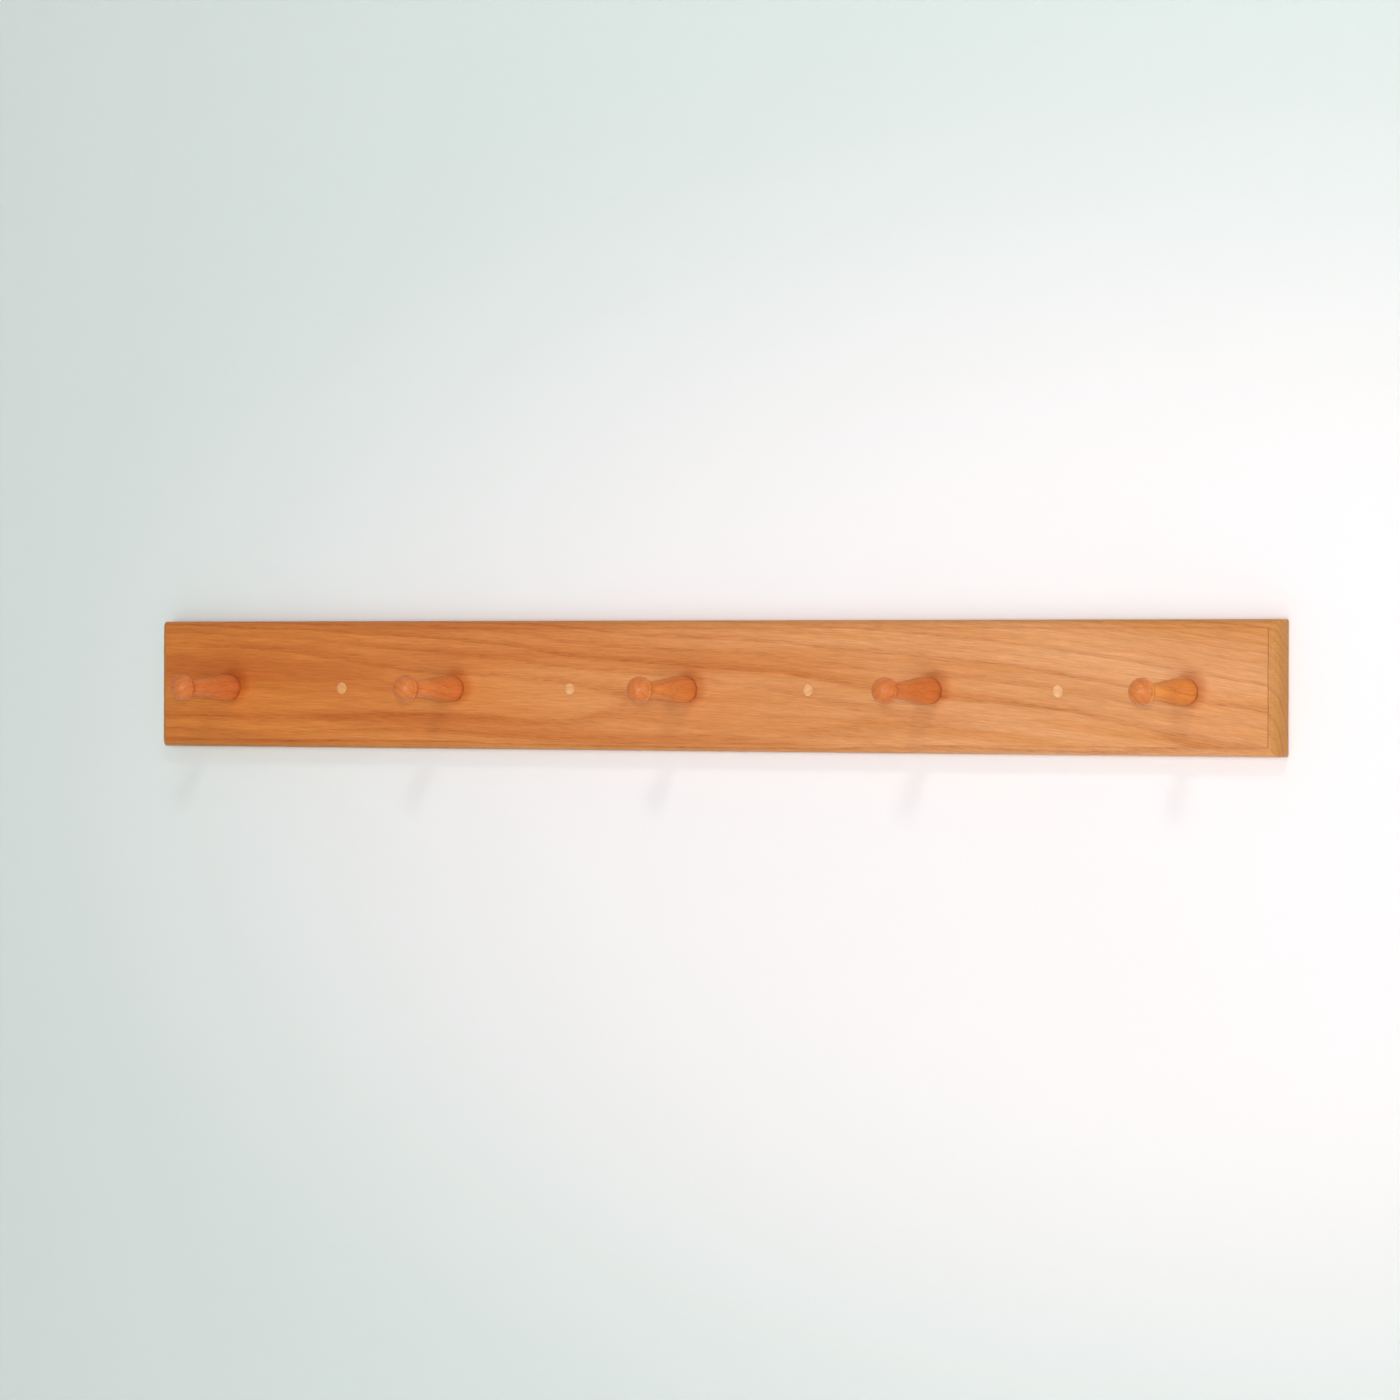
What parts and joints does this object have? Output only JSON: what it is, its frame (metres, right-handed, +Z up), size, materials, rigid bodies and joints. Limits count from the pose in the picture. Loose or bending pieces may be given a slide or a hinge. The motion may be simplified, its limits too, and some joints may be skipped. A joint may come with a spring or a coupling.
{
  "type": "wall peg rail",
  "caption": "Long low oak board with a routed, stepped edge and a row of turned mushroom-head pegs, screwed flat to a wall so that things can hang from it.",
  "frame": {"origin": "middle of the backboard's back face, which lies flat on the wall", "axes": "+X along the rail to the right as seen from the room, +Y into the wall, +Z up; the pegs point along -Y"},
  "size_m": [1.0668, 0.1322, 0.1016],
  "materials": {
    "backboard_oak": "honey-coloured oak under a satin clear varnish",
    "peg_oak": "turned oak under a glossy clear varnish",
    "plug_oak": "pale oak under a satin clear varnish",
    "screw_zinc": "zinc plated"
  },
  "bodies": {
    "root": {"backboard": "backboard_oak", "peg_1": "peg_oak", "peg_2": "peg_oak", "peg_3": "peg_oak", "peg_4": "peg_oak", "peg_5": "peg_oak", "screw_plug_1": "plug_oak", "screw_plug_2": "plug_oak", "screw_plug_3": "plug_oak", "screw_plug_4": "plug_oak", "wall_screw_1": "screw_zinc", "wall_screw_2": "screw_zinc", "wall_screw_3": "screw_zinc", "wall_screw_4": "screw_zinc"}
  },
  "joints": []
}
